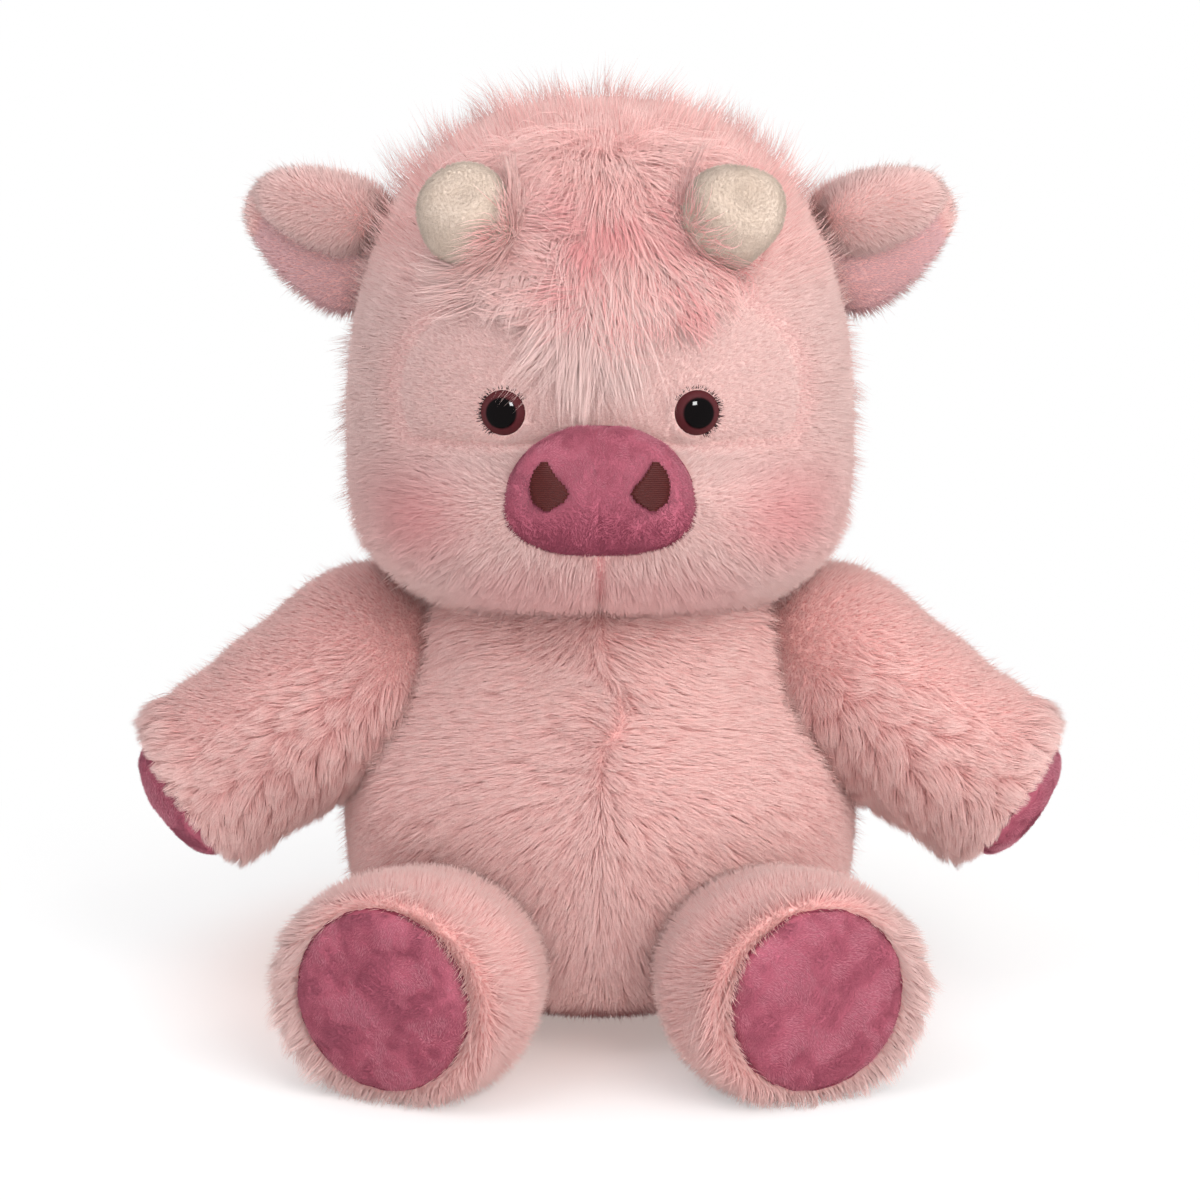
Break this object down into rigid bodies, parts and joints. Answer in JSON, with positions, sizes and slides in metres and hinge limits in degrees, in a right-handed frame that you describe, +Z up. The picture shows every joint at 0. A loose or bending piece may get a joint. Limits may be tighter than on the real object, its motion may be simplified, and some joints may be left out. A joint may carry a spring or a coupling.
{
  "type": "plush highland cow",
  "caption": "Seated plush highland cow calf with a turning head, stubby horns, long forelock, soft ears, velour hoof pads, lifting limbs and a tufted tail.",
  "frame": {"origin": "centre of the flat seat panel, on the surface that the toy sits on", "axes": "+Z up, the face and legs look along -Y, the toy's own left is +X"},
  "size_m": [0.2716, 0.2247, 0.2723],
  "materials": {
    "plush_pink": "matte",
    "plush_pale": "matte",
    "velour_rose": "matte",
    "fleece_cream": "matte",
    "thread_brown": "matte",
    "eye_black": "gloss",
    "washer_clear": "satin",
    "fibre_white": "matte",
    "bean_cloth": "matte"
  },
  "bodies": {
    "body": {"body_front_left": "plush_pink", "body_front_right": "plush_pink", "body_back_left": "plush_pink", "body_back_right": "plush_pink", "seat_panel": "plush_pink", "bean_bag": "bean_cloth", "body_stuffing": "fibre_white"},
    "neck": {"neck_wad": "fibre_white"},
    "head": {"head_left": "plush_pink", "head_right": "plush_pink", "face_panel": "plush_pale", "head_stuffing": "fibre_white", "eye_left": "eye_black", "eye_right": "eye_black", "eye_washer_left": "washer_clear", "eye_washer_right": "washer_clear", "muzzle_left": "plush_pale", "muzzle_right": "plush_pale", "muzzle_stuffing": "fibre_white", "nose_pad": "velour_rose", "nostril_left": "thread_brown", "nostril_right": "thread_brown", "horn_left": "fleece_cream", "horn_right": "fleece_cream", "horn_stuffing_left": "fibre_white", "horn_stuffing_right": "fibre_white", "forelock": "plush_pink"},
    "ear_left": {"ear_left": "plush_pink", "ear_lining_left": "plush_pale"},
    "arm_left": {"arm_cover_left": "plush_pink", "arm_pad_left": "velour_rose", "arm_stuffing_left": "fibre_white"},
    "leg_left": {"leg_cover_left": "plush_pink", "leg_pad_left": "velour_rose", "leg_stuffing_left": "fibre_white"},
    "ear_right": {"ear_right": "plush_pink", "ear_lining_right": "plush_pale"},
    "arm_right": {"arm_cover_right": "plush_pink", "arm_pad_right": "velour_rose", "arm_stuffing_right": "fibre_white"},
    "leg_right": {"leg_cover_right": "plush_pink", "leg_pad_right": "velour_rose", "leg_stuffing_right": "fibre_white"},
    "tail": {"tail": "plush_pink", "tail_tuft": "plush_pale"}
  },
  "joints": [
    {"name": "head_nod", "type": "hinge", "parent": "body", "child": "neck", "pos_m": [0, 0, 0.098], "axis": [1, 0, 0], "range_deg": [-8, 10], "stiffness_Nm_per_rad": 2},
    {"name": "head_turn", "type": "hinge", "parent": "neck", "child": "head", "pos_m": [0, 0, 0.098], "axis": [0, 0, 1], "range_deg": [-25, 25], "stiffness_Nm_per_rad": 0.5},
    {"name": "arm_left_raise", "type": "hinge", "parent": "body", "child": "arm_left", "pos_m": [0.07678, -0.00537, 0.093], "axis": [-0.1392, -0.9903, 0], "range_deg": [0, 40], "stiffness_Nm_per_rad": 0.3},
    {"name": "leg_left_lift", "type": "hinge", "parent": "body", "child": "leg_left", "pos_m": [0.04732, -0.07722, 0.03], "axis": [-0.9272, -0.3746, 0], "range_deg": [0, 22], "stiffness_Nm_per_rad": 0.4},
    {"name": "ear_left_flop", "type": "hinge", "parent": "head", "child": "ear_left", "pos_m": [0.06705, -0.004, 0.22151], "axis": [0.342, 0, -0.9397], "range_deg": [-15, 22], "stiffness_Nm_per_rad": 0.05},
    {"name": "arm_right_raise", "type": "hinge", "parent": "body", "child": "arm_right", "pos_m": [-0.07678, -0.00537, 0.093], "axis": [-0.1392, 0.9903, 0], "range_deg": [0, 40], "stiffness_Nm_per_rad": 0.3},
    {"name": "leg_right_lift", "type": "hinge", "parent": "body", "child": "leg_right", "pos_m": [-0.04732, -0.07722, 0.03], "axis": [-0.9272, 0.3746, 0], "range_deg": [0, 22], "stiffness_Nm_per_rad": 0.4},
    {"name": "ear_right_flop", "type": "hinge", "parent": "head", "child": "ear_right", "pos_m": [-0.06705, -0.004, 0.22151], "axis": [0.342, 0, 0.9397], "range_deg": [-15, 22], "stiffness_Nm_per_rad": 0.05},
    {"name": "tail_swing", "type": "hinge", "parent": "body", "child": "tail", "pos_m": [0, 0.08034, 0.042], "axis": [0, 0.829, 0.5592], "range_deg": [-25, 25], "stiffness_Nm_per_rad": 0.02}
  ]
}
